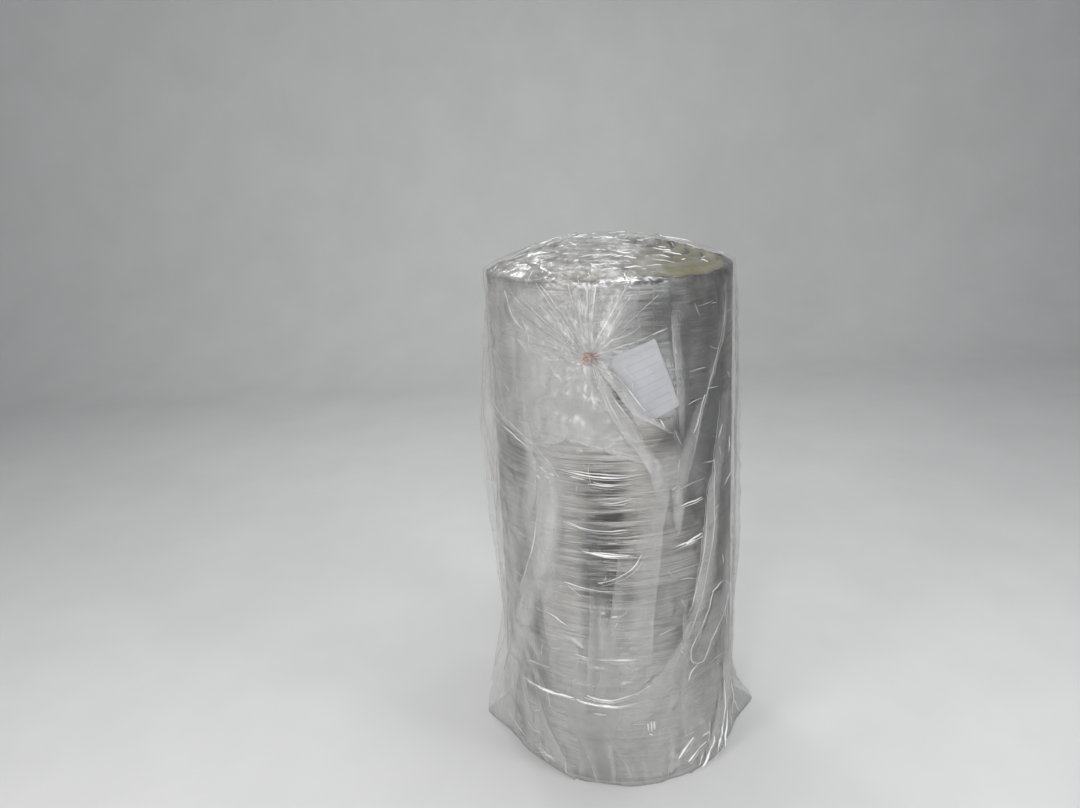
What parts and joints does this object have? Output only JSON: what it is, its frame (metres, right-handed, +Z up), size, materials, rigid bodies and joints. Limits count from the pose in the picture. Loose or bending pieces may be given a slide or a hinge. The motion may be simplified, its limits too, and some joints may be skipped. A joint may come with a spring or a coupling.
{
  "type": "insulation roll",
  "caption": "Foil-faced glass wool insulation blanket, rolled up and standing on its end in a clear film bag knotted at the front, with a blank paper tag under the film.",
  "frame": {"origin": "on the floor, at the middle of the bag's foot", "axes": "+Z up along the roll's axis, -Y the front with the knot and the tag, +X to the right seen from the front"},
  "size_m": [0.7266, 0.6181, 1.2779],
  "materials": {
    "glass_wool": "loose matted glass fibre, olive yellow",
    "foil": "thin bonded foil, finely creased round the roll",
    "clear_film": "clear polythene film, milky where it is folded",
    "tie_string": "pinkish brown string",
    "tag_paper": "plain white sheet, unprinted"
  },
  "bodies": {
    "root": {"wool_roll": "glass_wool", "foil_facing": "foil", "film_bag": "clear_film", "bag_tie": "tie_string", "paper_tag": "tag_paper"}
  },
  "joints": []
}
